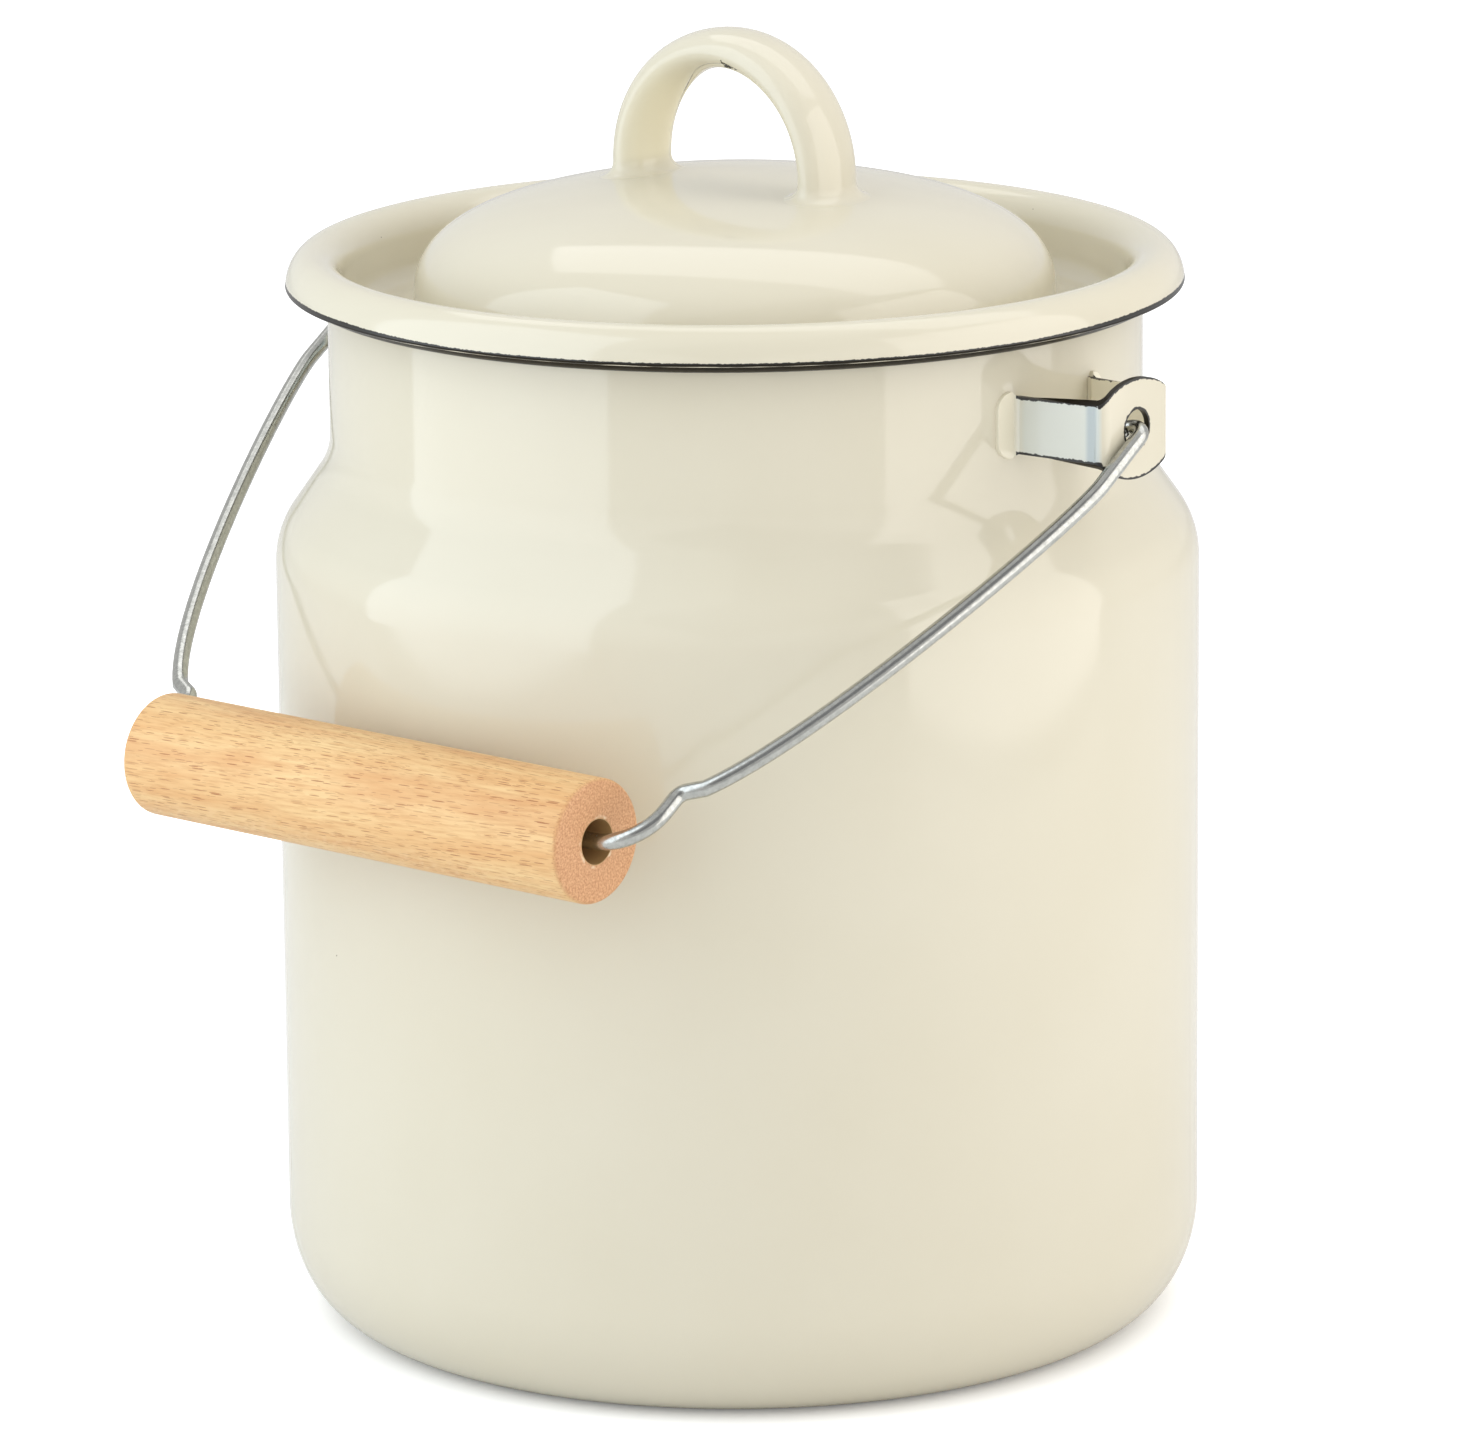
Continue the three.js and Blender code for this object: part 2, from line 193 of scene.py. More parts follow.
# sRGB hex to a linear colour
def hexColour(code):
    parts = [int(code[i:i + 2], 16) / 255 for i in (1, 3, 5)]
    return [p / 12.92 if p <= 0.04045 else ((p + 0.055) / 1.055) ** 2.4 for p in parts] + [1]


# an input is a socket, a node (by its first output in use), a hex colour or a plain value
def addNode(tree, kind, inputs=None, **settings):
    node = tree.nodes.new("ShaderNode" + kind)
    for name, value in settings.items():
        setattr(node, name, value)
    for name, value in (inputs or {}).items():
        if isinstance(value, bpy.types.Node):
            value = next(output for output in value.outputs if output.enabled)
        if isinstance(value, bpy.types.NodeSocket):
            tree.links.new(value, node.inputs[name])
        else:
            node.inputs[name].default_value = hexColour(value) if isinstance(value, str) else value
    return node


# empties a material's or world's tree and gives the function that adds nodes to it
def startNodes(owner):
    owner.use_nodes = True
    owner.node_tree.nodes.clear()
    return partial(addNode, owner.node_tree)


# replaces the stops of a colour ramp; a stop's levels are repeated to fill red, green and blue
def setStops(ramp, stops):
    elements = ramp.color_ramp.elements
    elements.remove(elements[1])
    for i, (position, *levels) in enumerate(stops):
        element = elements.new(position) if i else elements[0]
        element.position = position
        element.color = (levels * 3)[:3] + [1]


# the limits of a map range, from a pair of sizes in mm counted from an origin
def limits(pair, origin=0):
    return {"From Min": (origin + pair[0]) * mm, "From Max": (origin + pair[1]) * mm}


# Camera: the photograph's place, angle and slight roll
camera = {"place": (0.99128, -1.15761, 0.47197), "forward": (-0.63298, 0.73756, -0.23525),
          "roll": -0.5547, "lens": 222.07, "sensor": 36, "clip": (0.05, 50)}
cameraData = bpy.data.cameras.new("photoCamera")
cameraData.lens = camera["lens"]
cameraData.sensor_width = camera["sensor"]
cameraData.clip_start, cameraData.clip_end = camera["clip"]
cameraObject = bpy.data.objects.new("photoCamera", cameraData)
scene.collection.objects.link(cameraObject)
aimAlong(cameraObject, Vector(camera["forward"]), "-Z", camera["roll"])
cameraObject.location = camera["place"]
scene.camera = cameraObject
cameraAzimuth = math.atan2(camera["place"][1], camera["place"][0])

# Stage: white floor, white surroundings and soft boxes
stage = {"floorSize": 8000, "floorDrop": 0.05, "floorShade": (0.86, 0.86, 0.86, 1), "floorReach": 420,
         # how brightly the floor glows for the camera, at shares of its reach
         "floorLift": [(0.158, 0.12), (0.17, 0.2), (0.186, 0.42), (0.21, 0.54), (0.3, 0.62), (1.0, 0.66)],
         "surroundings": 0.70, "backdrop": 0.75, "backdropFrom": 0.2, "backdropFull": 0.8, "boxes": [
             # degrees round from the camera, distance, height of the middle, height that it faces,
             # width, length, radiance, colour
             ("leftBox", -66, 560, 640, 640, 700, 1250, 1.49, "#EAF5FF"),
             ("rightBox", 67, 520, 330, 330, 540, 640, 1.38, "#FFFBF7"),
             ("topBox", 150, 400, 1150, 100, 1600, 560, 1.12, "#FFFFFF"),
             ("frontFill", 0, 1300, 900, 100, 1000, 1000, 0.62, "#FFFDF6")],
         "card": {"around": 14, "rise": 44, "distance": 900, "width": 1000, "height": 520, "roll": 30,
                  "shade": (0.32, 0.32, 0.33, 1)}}

floor = addPlane("floor", stage["floorSize"] * mm, (0, 0, -stage["floorDrop"] * mm))
floorMaterial = bpy.data.materials.new("whiteFloor")
add = startNodes(floorMaterial)
fromMiddle = add("VectorMath", {0: add("TexCoord").outputs["Object"]}, operation="LENGTH")
reachShare = add("MapRange", {"Value": fromMiddle, "From Max": stage["floorReach"] * mm})
glowRamp = add("ValToRGB", {"Fac": reachShare})
setStops(glowRamp, stage["floorLift"])
lift = add("Math", {0: add("LightPath").outputs["Is Camera Ray"], 1: glowRamp}, operation="MULTIPLY")
lit = add("BsdfDiffuse", {"Color": stage["floorShade"]})
both = add("AddShader", {0: lit, 1: add("Emission", {"Strength": lift})})
add("OutputMaterial", {"Surface": both})
floor.data.materials.append(floorMaterial)

world = bpy.data.worlds.new("whiteRoom")
scene.world = world
add = startNodes(world)
ray = add("LightPath")
behind = add("VectorMath", {0: add("TexCoord").outputs["Generated"], 1: Vector(camera["forward"])},
             operation="DOT_PRODUCT")
backdropShare = (stage["backdrop"] - stage["surroundings"]) / (1 - stage["surroundings"])
backdrop = add("MapRange", {"Value": behind, "From Min": stage["backdropFrom"],
                            "From Max": stage["backdropFull"], "To Max": backdropShare})
mirrored = add("Math", {0: ray.outputs["Is Glossy Ray"], 1: backdrop}, operation="MULTIPLY")
seen = add("Math", {0: ray.outputs["Is Camera Ray"], 1: mirrored}, operation="MAXIMUM")
strength = add("MapRange", {"Value": seen, "To Min": stage["surroundings"], "To Max": 1.0})
add("OutputWorld", {"Surface": add("Background", {"Color": (1, 1, 1, 1), "Strength": strength})})

for name, around, distance, height, facing, width, length, radiance, tone in stage["boxes"]:
    lamp = bpy.data.lights.new(name, "AREA")
    lamp.shape = "RECTANGLE"
    lamp.size, lamp.size_y = width * mm, length * mm
    lamp.energy = radiance * math.pi * lamp.size * lamp.size_y
    lamp.color = hexColour(tone)[:3]
    box = bpy.data.objects.new(name, lamp)
    scene.collection.objects.link(box)
    azimuth = cameraAzimuth + math.radians(around)
    box.location = Vector((distance * math.cos(azimuth), distance * math.sin(azimuth), height)) * mm
    aimAlong(box, Vector((0, 0, facing * mm)) - box.location, "-Z")
    box.visible_camera = False
    box.visible_glossy = name != "frontFill"

# a grey card above the camera, seen only in reflections, gives the bright wire its dark line
card = stage["card"]
azimuth, elevation = cameraAzimuth + math.radians(card["around"]), math.radians(card["rise"])
outward = Vector((math.cos(azimuth) * math.cos(elevation), math.sin(azimuth) * math.cos(elevation),
                  math.sin(elevation)))
greyCard = addPlane("greyCard", mm, outward * card["distance"] * mm)
greyCard.scale = (card["width"], card["height"], 1)
aimAlong(greyCard, outward, "Z", card["roll"])
cardCloth = bpy.data.materials.new("greyCloth")
add = startNodes(cardCloth)
add("OutputMaterial", {"Surface": add("BsdfDiffuse", {"Color": card["shade"]})})
greyCard.data.materials.append(cardCloth)
greyCard.visible_camera = greyCard.visible_diffuse = False
print("camera, floor and lights made")


# Vitreous enamel over steel, dipped and fired: a glassy cream coat with a deep gloss, a slightly
# wavy surface and a few dark pinholes. Where it is thin over the cut edges, the black ground coat shows.
enamel = {"cream": "#DAD4C1", "creamDeep": "#D5CEB8", "speck": "#6B6450", "black": "#14110B",
          "roughness": 0.08, "blackRough": 0.3, "ior": 1.56, "toneSpan": 38, "waveSpan": 26,
          "waveHeight": 0.035, "peelSpan": 5, "peelHeight": 0.0025, "speckSpacing": 13, "speckRadius": 0.16,
          "cleanShare": 0.55}


# bareMask gives the share of black ground coat, and the last argument may change the cream, with real tints
# and with painted light and shade
def enamelMaterial(name, bareMask, tint=None):
    material = bpy.data.materials.new(name)
    add = startNodes(material)
    place = add("TexCoord").outputs["Object"]
    tone = add("TexNoise", {"Vector": place, "Scale": 1 / mm / enamel["toneSpan"]})
    colour = add("Mix", {"Factor": tone, "A": enamel["cream"], "B": enamel["creamDeep"]}, data_type="RGBA")
    # pinholes: cells of a scattered pattern, few of which get a speck
    cells = add("TexVoronoi", {"Vector": place, "Scale": 1 / mm / enamel["speckSpacing"]})
    pick = add("SeparateColor", {"Color": cells.outputs["Color"]})
    reach = add("MapRange", {"Value": pick, "From Min": enamel["cleanShare"],
                             "To Max": enamel["speckRadius"] / enamel["speckSpacing"]})
    speck = add("Math", {0: cells, 1: reach}, operation="LESS_THAN")
    colour = add("Mix", {"Factor": speck, "A": colour, "B": enamel["speck"]}, data_type="RGBA")
    if tint:
        colour = tint(add, place, colour)
    bare = bareMask(add, place)
    colour = add("Mix", {"Factor": bare, "A": colour, "B": enamel["black"]}, data_type="RGBA")
    rough = add("MapRange", {"Value": bare, "To Min": enamel["roughness"], "To Max": enamel["blackRough"]})
    wave = add("TexNoise", {"Vector": place, "Scale": 1 / mm / enamel["waveSpan"], "Detail": 1.0})
    slow = add("Bump", {"Height": wave, "Distance": enamel["waveHeight"] * mm})
    peel = add("TexNoise", {"Vector": place, "Scale": 1 / mm / enamel["peelSpan"], "Detail": 1.0})
    fine = add("Bump", {"Height": peel, "Normal": slow, "Distance": enamel["peelHeight"] * mm})
    shader = add("BsdfPrincipled", {"Base Color": colour, "Roughness": rough, "Normal": fine,
                                    "IOR": enamel["ior"]})
    add("OutputMaterial", {"Surface": shader})
    return material


# The black ground coat under the cream, bare on rims and cut edges: near black and a little duller
ground = {"dark": "#130F09", "brown": "#282216", "patchSpan": 1.5, "roughness": 0.34, "ior": 1.25}
blackCoat = bpy.data.materials.new("blackGroundCoat")
add = startNodes(blackCoat)
patches = add("TexNoise", {"Vector": add("TexCoord").outputs["Object"], "Scale": 1 / mm / ground["patchSpan"],
                           "Detail": 3.0})
coat = add("Mix", {"Factor": patches, "A": ground["dark"], "B": ground["brown"]}, data_type="RGBA")
shader = add("BsdfPrincipled", {"Base Color": coat, "Roughness": ground["roughness"], "IOR": ground["ior"]})
add("OutputMaterial", {"Surface": shader})


# gives the faces that pass a test the black coat
def bareEdges(piece, isBare):
    piece.data.materials.append(blackCoat)
    for polygon in piece.data.polygons:
        if isBare(polygon.center / mm, polygon.normal):
            polygon.material_index = 1


# A wandering line: where a measure in metres passes a level in mm. An edge is how far it wanders,
# over what span, and how soft it is.
def raggedStep(add, place, measure, level, edge):
    wander, span, soft = edge
    noise = add("TexNoise", {"Vector": place, "Scale": 1 / mm / span, "Detail": 3.0})
    shift = add("MapRange", {"Value": noise, "From Min": 0.25, "From Max": 0.75,
                             "To Min": -wander * mm, "To Max": wander * mm})
    moved = add("Math", {0: measure, 1: shift})
    return add("MapRange", {"Value": moved, **limits((-soft, soft), level)})


# Can body: one sheet from the base to the rolled rim
can = {"wall": 1.0, "cornerWidth": 13.5, "cornerHeight": 19.0, "sideHeight": 133.7, "shoulderInset": 9.8,
       "shoulderRound": 15.1, "shoulderSlope": 35.1, "neckRound": 12.2, "rimWidth": 6.0, "rimHeight": 6.6,
       "rimOut": 2.5, "facets": 192, "blackFrom": 180.12, "blackEdge": (0.13, 0.6, 0.03), "coatAbove": 0.2}
canRadius, rimTop = canHigh.x / mm, canHigh.z / mm
neckRadius = canRadius - can["shoulderInset"]
slope = math.radians(can["shoulderSlope"])
shoulderEnd = (canRadius - can["shoulderRound"] * (1 - math.cos(slope)),
               can["sideHeight"] + can["shoulderRound"] * math.sin(slope))
neckRun = shoulderEnd[0] - neckRadius - can["neckRound"] * (1 - math.cos(slope))
neckFoot = shoulderEnd[1] + neckRun / math.tan(slope) + can["neckRound"] * math.sin(slope)
rimRadius = neckRadius + can["rimOut"]
rimMiddle = rimTop - can["rimHeight"] / 2

outside = [
    *arc((canRadius - can["cornerWidth"], can["cornerHeight"]), (can["cornerWidth"], can["cornerHeight"]),
         -quarter, 0, 22),
    *arc((canRadius - can["shoulderRound"], can["sideHeight"]), (can["shoulderRound"],) * 2, 0, slope, 14),
    *arc((neckRadius + can["neckRound"], neckFoot), (can["neckRound"],) * 2, math.pi + slope, math.pi, 14)]
inside = offsetLine([(0, 0), *outside], can["wall"])
rollStart = -math.acos((neckRadius - rimRadius) / (can["rimWidth"] / 2))
outerRoll = arc((rimRadius, rimMiddle), (can["rimWidth"] / 2, can["rimHeight"] / 2), rollStart, quarter, 26)
mouthRadius = neckRadius - can["wall"]
innerRoll = arc((rimRadius, rimMiddle), (rimRadius - mouthRadius, can["rimHeight"] / 2), quarter, math.pi, 12)
canProfile = [(0, 0), *outside, *outerRoll, *innerRoll[1:], *reversed(inside)]
canBody = turnProfile("enamelCan", canProfile, can["facets"])


def rimBlack(add, place):
    height = add("SeparateXYZ", {"Vector": place}).outputs["Z"]
    return raggedStep(add, place, height, can["blackFrom"], can["blackEdge"])


def isRim(middle, normal):
    return middle.z > can["blackFrom"] + can["coatAbove"] and normal.xy.dot(middle.xy) > 0


settle(canBody, "can", "can_body", enamelMaterial("creamEnamelCan", rimBlack))
bareEdges(canBody, isRim)


# Lid: pressed from one sheet, with a turned-down flange, a channel and a flat-topped dome
lid = {"wall": 1.0, "flangeDepth": 6.2, "lipHeight": 5.0, "lipTop": 187.98, "wellRadius": 67.6,
       "wellDepth": 12.8, "wellRound": 4.0, "domeInset": 12.2, "domeFootRound": 4.0, "domeSquareness": 2.6,
       "facets": 192, "flangeWidth": 4, "blackHeight": 0.74, "blackEdge": (0.1, 0.7, 0.04),
       # how high the painted highlight (cream left under the black) reaches on the bottom of the cut edge,
       # and its ragged edge
       "lightHeight": 0.09, "lightEdge": (0.15, 6, 0.03), "coatFrom": 0.25,
       # the black reaches higher at two sides, from one share of the radius to another
       "sideRise": 0.45, "sideDirection": (0.76, 0.65, 0), "sideShares": (0.62, 0.86)}
lidRadius, domeTop = lidHigh.x / mm, lidHigh.z / mm
lipTop = lid["lipTop"]
flangeEdge = lipTop - lid["flangeDepth"]
channel = lipTop - lid["wellDepth"]
domeFoot = channel + lid["domeFootRound"]
domeRadius = lid["wellRadius"] - lid["domeInset"]


def domeHeight(radius):
    share = 1 - (radius / domeRadius) ** lid["domeSquareness"]
    return domeFoot + (domeTop - domeFoot) * share ** (1 / lid["domeSquareness"])


power = 2 / lid["domeSquareness"]
dome = [(domeRadius * max(x, 0) ** power, domeFoot + (domeTop - domeFoot) * z ** power)
        for x, z in arc((0, 0), (1, 1), 0, quarter, 40)]
dome[-1] = (0, domeTop)
topFace = [
    *arc((rimRadius, flangeEdge), (lidRadius - rimRadius, lid["flangeDepth"]), 0, quarter, 16),
    *arc((rimRadius, lipTop - lid["lipHeight"]), (rimRadius - lid["wellRadius"], lid["lipHeight"]),
         quarter, math.pi, 14)[1:],
    *arc((lid["wellRadius"] - lid["wellRound"], channel + lid["wellRound"]), (lid["wellRound"],) * 2,
         0, -quarter, 12),
    *arc((domeRadius + lid["domeFootRound"], domeFoot), (lid["domeFootRound"],) * 2, -quarter, -math.pi, 10),
    *dome[1:]]
underFace = offsetLine(topFace, lid["wall"])
underFace[-1] = (0, underFace[-1][1])
edgeRound = lid["wall"] / 2
cutEdge = arc((lidRadius - edgeRound, flangeEdge + edgeRound), (edgeRound, edgeRound), -math.pi, 0, 10)
lidShell = turnProfile("enamelLid", [*reversed(underFace[2:]), *cutEdge, *topFace[2:]], lid["facets"])


def flangeBlack(add, place):
    height = add("SeparateXYZ", {"Vector": place}).outputs["Z"]
    flat = add("VectorMath", {0: place, 1: (1, 1, 0)}, operation="MULTIPLY")
    radius = add("VectorMath", {0: flat}, operation="LENGTH")
    atFlange = add("Math", {0: radius, 1: (lidRadius - lid["flangeWidth"]) * mm}, operation="GREATER_THAN")
    sideways = add("VectorMath", {0: place, 1: lid["sideDirection"]}, operation="DOT_PRODUCT")
    sideways = add("Math", {0: sideways}, operation="ABSOLUTE")
    sides = [share * lidRadius for share in lid["sideShares"]]
    rise = add("MapRange", {"Value": sideways, **limits(sides), "To Max": lid["sideRise"] * mm})
    lowered = add("Math", {0: height, 1: rise}, operation="SUBTRACT")
    above = raggedStep(add, place, lowered, flangeEdge + lid["blackHeight"], lid["blackEdge"])
    below = add("Math", {0: 1.0, 1: above}, operation="SUBTRACT")
    # the very bottom of the cut edge is left cream in places: a painted highlight along its rounded underside
    notLight = raggedStep(add, place, height, flangeEdge + lid["lightHeight"], lid["lightEdge"])
    band = add("Math", {0: below, 1: notLight}, operation="MULTIPLY")
    return add("Math", {0: band, 1: atFlange}, operation="MULTIPLY")


def isFlangeEdge(middle, normal):
    return lid["coatFrom"] < middle.z - flangeEdge < edgeRound and normal.xy.dot(middle.xy) > 0


settle(lidShell, "lid", "lid_shell", enamelMaterial("creamEnamelLid", flangeBlack))
bareEdges(lidShell, isFlangeEdge)


# Lid handle: a strip rolled to an oval tube and bent to an arch, its seam on the inner side
handle = {"width": 13.2, "thickness": 6.9, "span": 41.7, "seamWidth": 0.4, "seamDepth": 0.15, "fillet": 2.4,
          "flare": 2.8, "archSteps": 56, "filletSteps": 9, "sink": 0.06, "seamTurn": (-58, 50),
          "seamDrift": (-14, 75),
          # the dark line, from the arch's top down the left leg: share of the way, half its width and
          # its fork, as shares of the sizes after it
          "darkSpan": (-20, 90), "darkShares": [
              (0.018, 0, 0), (0.028, 0.3, 0), (0.064, 0.65, 0), (0.082, 0.7, 0), (0.095, 0.55, 0.25),
              (0.112, 0.42, 0.7), (0.118, 0.11, 0), (0.55, 0.11, 0), (0.86, 0.05, 0), (0.95, 0, 0)],
          "darkWidth": (0.35, 1.1), "forkReach": 1, "frayedSpan": 0.5,
          # painted light: a paler cream on the inner side of the left leg, and where it fades in, inward,
          # across and up
          "pale": "#F3ECD2", "paleInside": 1, "paleAcross": (-2, -15), "paleAbove": (-3, 1.5)}
archRadius = handle["span"] / 2
archMiddle = archHigh.z / mm - handle["thickness"] / 2 - archRadius
halfWide, halfThick = handle["width"] / 2, handle["thickness"] / 2
driftStart, driftEnd = [math.radians(angle) for angle in handle["seamDrift"]]
seamHigh, seamLow = handle["seamTurn"]
oval = arc((0, 0), (halfWide, halfThick), -quarter, 3 * quarter, 48)[:-1]
halfSeam = handle["seamWidth"] / 2
section = [(across, out + handle["seamDepth"] * max(0, 1 - (across / halfSeam) ** 2) if out < 0 else out)
           for across, out in [(-halfSeam / 2, -halfThick), *oval[:1], (halfSeam / 2, -halfThick), *oval[1:]]]
ring = [(-(archRadius + out) * mm, across * mm, archMiddle * mm) for across, out in section]
lidHandle = drawLine("enamelHandle", [*ring, ring[0]])
editAll()
bpy.ops.mesh.remove_doubles(threshold=weld)
editAll()
bpy.ops.mesh.spin(steps=handle["archSteps"], angle=-math.pi, center=(0, 0, archMiddle * mm), axis=(0, 1, 0))
setMode("OBJECT")
# the seam drifts along the arch: each section is turned along its own oval
for vertex in lidHandle.data.vertices:
    upward = vertex.co.z - archMiddle * mm
    outShare = (math.hypot(vertex.co.x, upward) / mm - archRadius) / halfThick
    acrossShare = vertex.co.y / mm / halfWide
    around = math.atan2(-vertex.co.x, upward)
    share = min(max((around - driftStart) / (driftEnd - driftStart), 0), 1)
    turn = seamHigh + (seamLow - seamHigh) * share ** 2 * (3 - 2 * share)
    spot = math.atan2(outShare, acrossShare) + math.radians(turn)
    size = math.hypot(outShare, acrossShare)
    reach = archRadius + halfThick * size * math.sin(spot)
    vertex.co = (-reach * math.sin(around) * mm, halfWide * size * math.cos(spot) * mm,
                 (archMiddle + reach * math.cos(around)) * mm)
print("arch top", max(v.co.z for v in lidHandle.data.vertices), "to", archHigh.z)
# each leg is pulled down to the dome, flaring as it goes
for side in (-1, 1):
    lastGrowth = 0
    for k in range(handle["filletSteps"] + 1):
        angle = quarter * k / handle["filletSteps"]
        growth = handle["flare"] * (1 - math.cos(angle))
        climb = handle["fillet"] * (1 - math.sin(angle))
        sink = handle["sink"] if k == handle["filletSteps"] else 0
        clearSelection()
        for vertex in lidHandle.data.vertices:
            atEnd = abs(vertex.co.z - archMiddle * mm) < 1e-7 if k == 0 else vertex.index >= firstNew
            vertex.select = atEnd and vertex.co.x * side > 0
        firstNew = len(lidHandle.data.vertices)
        setMode("EDIT")
        pullOut((0, 0, -0.1 * mm))
        setMode("OBJECT")
        for vertex in lidHandle.data.vertices[firstNew:]:
            across, out = vertex.co.y / mm, vertex.co.x / mm - side * archRadius
            normal = Vector((out / (halfThick + lastGrowth) ** 2, across / (halfWide + lastGrowth) ** 2))
            normal = normal.normalized()
            x = vertex.co.x / mm + normal.x * (growth - lastGrowth)
            y = across + normal.y * (growth - lastGrowth)
            vertex.co = (x * mm, y * mm, (domeHeight(math.hypot(x, y)) + climb - sink) * mm)
        lastGrowth = growth
closeShell(lidHandle, 60)


# places from the arch's centre, and how far they are from its axis
def aboutArch(add, place):
    centred = add("Mapping", {"Vector": place, "Location": (0, 0, -archMiddle * mm)})
    flat = add("VectorMath", {0: centred, 1: (1, 0, 1)}, operation="MULTIPLY")
    return add("SeparateXYZ", {"Vector": centred}).outputs, add("VectorMath", {0: flat}, operation="LENGTH")


# a dark hairline along the seam, and the chip beside the top of the arch
def seamDark(add, place):
    parts, reach = aboutArch(add, place)
    leftward = add("Math", {0: parts["X"], 1: -1.0}, operation="MULTIPLY")
    around = add("Math", {0: leftward, 1: parts["Z"]}, operation="ARCTAN2")
    turn = add("MapRange", {"Value": around, "From Min": driftStart, "From Max": driftEnd,
                            "To Min": math.radians(seamHigh), "To Max": math.radians(seamLow)},
               interpolation_type="SMOOTHSTEP")
    lean = add("Math", {0: turn}, operation="SINE")
    seamPlace = add("Math", {0: lean, 1: halfWide * mm}, operation="MULTIPLY")
    darkStart, darkEnd = [math.radians(angle) for angle in handle["darkSpan"]]
    along = add("MapRange", {"Value": around, "From Min": darkStart, "From Max": darkEnd})
    ramp = add("ValToRGB", {"Fac": along})
    setStops(ramp, handle["darkShares"])
    shares = add("SeparateColor", {"Color": ramp})
    fork = add("Math", {0: shares.outputs["Green"], 1: handle["forkReach"] * mm}, operation="MULTIPLY")
    off = parts["Y"]
    for middle in (seamPlace, fork):
        off = add("Math", {0: off, 1: middle}, operation="SUBTRACT")
        off = add("Math", {0: off}, operation="ABSOLUTE")
    noise = add("TexNoise", {"Vector": place, "Scale": 1 / mm / handle["frayedSpan"]})
    thinnest, thickest = handle["darkWidth"]
    frayed = add("MapRange", {"Value": noise, "From Min": 0.3, "From Max": 0.7, "To Min": thinnest * mm,
                              "To Max": thickest * mm})
    halfLine = add("Math", {0: shares.outputs["Red"], 1: frayed}, operation="MULTIPLY")
    line = add("Math", {0: off, 1: halfLine}, operation="LESS_THAN")
    inner = add("Math", {0: reach, 1: archRadius * mm}, operation="LESS_THAN")
    return add("Math", {0: line, 1: inner}, operation="MULTIPLY")


# painted light: the inner side of the left leg is made a paler cream, standing in for the light thrown onto
# it from the lid
def handleTint(add, place, cream):
    parts, reach = aboutArch(add, place)
    share = 1.0
    for measure, pair in ((reach, (archRadius + handle["paleInside"], archRadius - halfThick)),
                          (parts["X"], handle["paleAcross"]), (parts["Z"], handle["paleAbove"])):
        fade = add("MapRange", {"Value": measure, **limits(pair)}, interpolation_type="SMOOTHSTEP")
        share = add("Math", {0: share, 1: fade}, operation="MULTIPLY")
    return add("Mix", {"Factor": share, "A": cream, "B": handle["pale"]}, data_type="RGBA")


handleMaterial = enamelMaterial("creamEnamelHandle", seamDark, handleTint)
settle(lidHandle, "lid", "lid_handle", handleMaterial)


# Ears: a strap bent to a hat, with a round eye at its middle, dipped with the can
ear = {"thickness": 1.0, "standoff": 17.1, "rise": 10.6, "eye": 17.1, "eyeWidth": 22.4, "hole": 6.4,
       "strapHeight": 9.8, "halfWidth": 8.6, "footHalfWidth": 9.9, "tabLength": 4.2, "tabHeight": 11.4,
       "tabRound": 3.0, "tabBlend": 0.6, "overrun": 1, "eyeBend": 1.6, "footBend": 1.0, "edgeRound": 0.24,
       "tabSink": 0.45, "tabThin": 0.6, "tabStep": 0.4, "tabRim": 0.6, "tabArea": 20, "nearLeg": 1,
       "slack": 0.2, "facePunch": (60, 40), "holePunch": (70, 30)}
eyeHeight = neckFoot + ear["rise"]
eyeRadius = neckRadius + ear["standoff"]
tabRadius = neckRadius + restGap + ear["thickness"] / 2
footAngle = math.asin(ear["footHalfWidth"] / tabRadius)
tabEnd = footAngle + (ear["tabLength"] + ear["overrun"]) / tabRadius
halfPlan = [(tabRadius * math.cos(tabEnd), tabRadius * math.sin(tabEnd)),
            (tabRadius * math.cos(footAngle), ear["footHalfWidth"]), (eyeRadius, ear["halfWidth"])]
corners = halfPlan + [(x, -y) for x, y in reversed(halfPlan)]
middleLine = roundedLine(corners, [ear["footBend"], ear["eyeBend"], ear["eyeBend"], ear["footBend"]], 8)
plan = offsetLine(middleLine, ear["thickness"] / 2) + offsetLine(middleLine, -ear["thickness"] / 2)[::-1]

eyeRound, halfStrap, halfTab = ear["eye"] / 2, ear["strapHeight"] / 2, ear["tabHeight"] / 2
tabReach = ear["footHalfWidth"] + ear["tabLength"]
legFace = ear["footHalfWidth"] + ear["thickness"] / 2
eyeStart = math.asin(halfStrap / eyeRound)
tabCorner = [*arc((tabReach - ear["tabRound"], halfTab - ear["tabRound"]), (ear["tabRound"],) * 2,
                  0, quarter, 8), (legFace + ear["tabBlend"], halfTab), (legFace, halfStrap)]
eyeTop = arc((0, 0), (ear["eyeWidth"] / 2, eyeRound), eyeStart, math.pi - eyeStart, 36)
upper = tabCorner + eyeTop + [(-y, z) for y, z in reversed(tabCorner)]
face = upper + [(-y, -z) for y, z in upper]
hole = arc((0, 0), (ear["hole"] / 2,) * 2, 0, 2 * math.pi, 40)[:-1]


# a drawn outline filled and pulled into a solid
def pulledOutline(name, points, pull):
    piece = drawLine(name, [*points, points[0]])
    editAll()
    bpy.ops.mesh.remove_doubles(threshold=weld)
    editAll()
    bpy.ops.mesh.edge_face_add()
    pullOut(pull)
    editAll()
    bpy.ops.mesh.normals_make_consistent()
    deselectAll()
    return piece


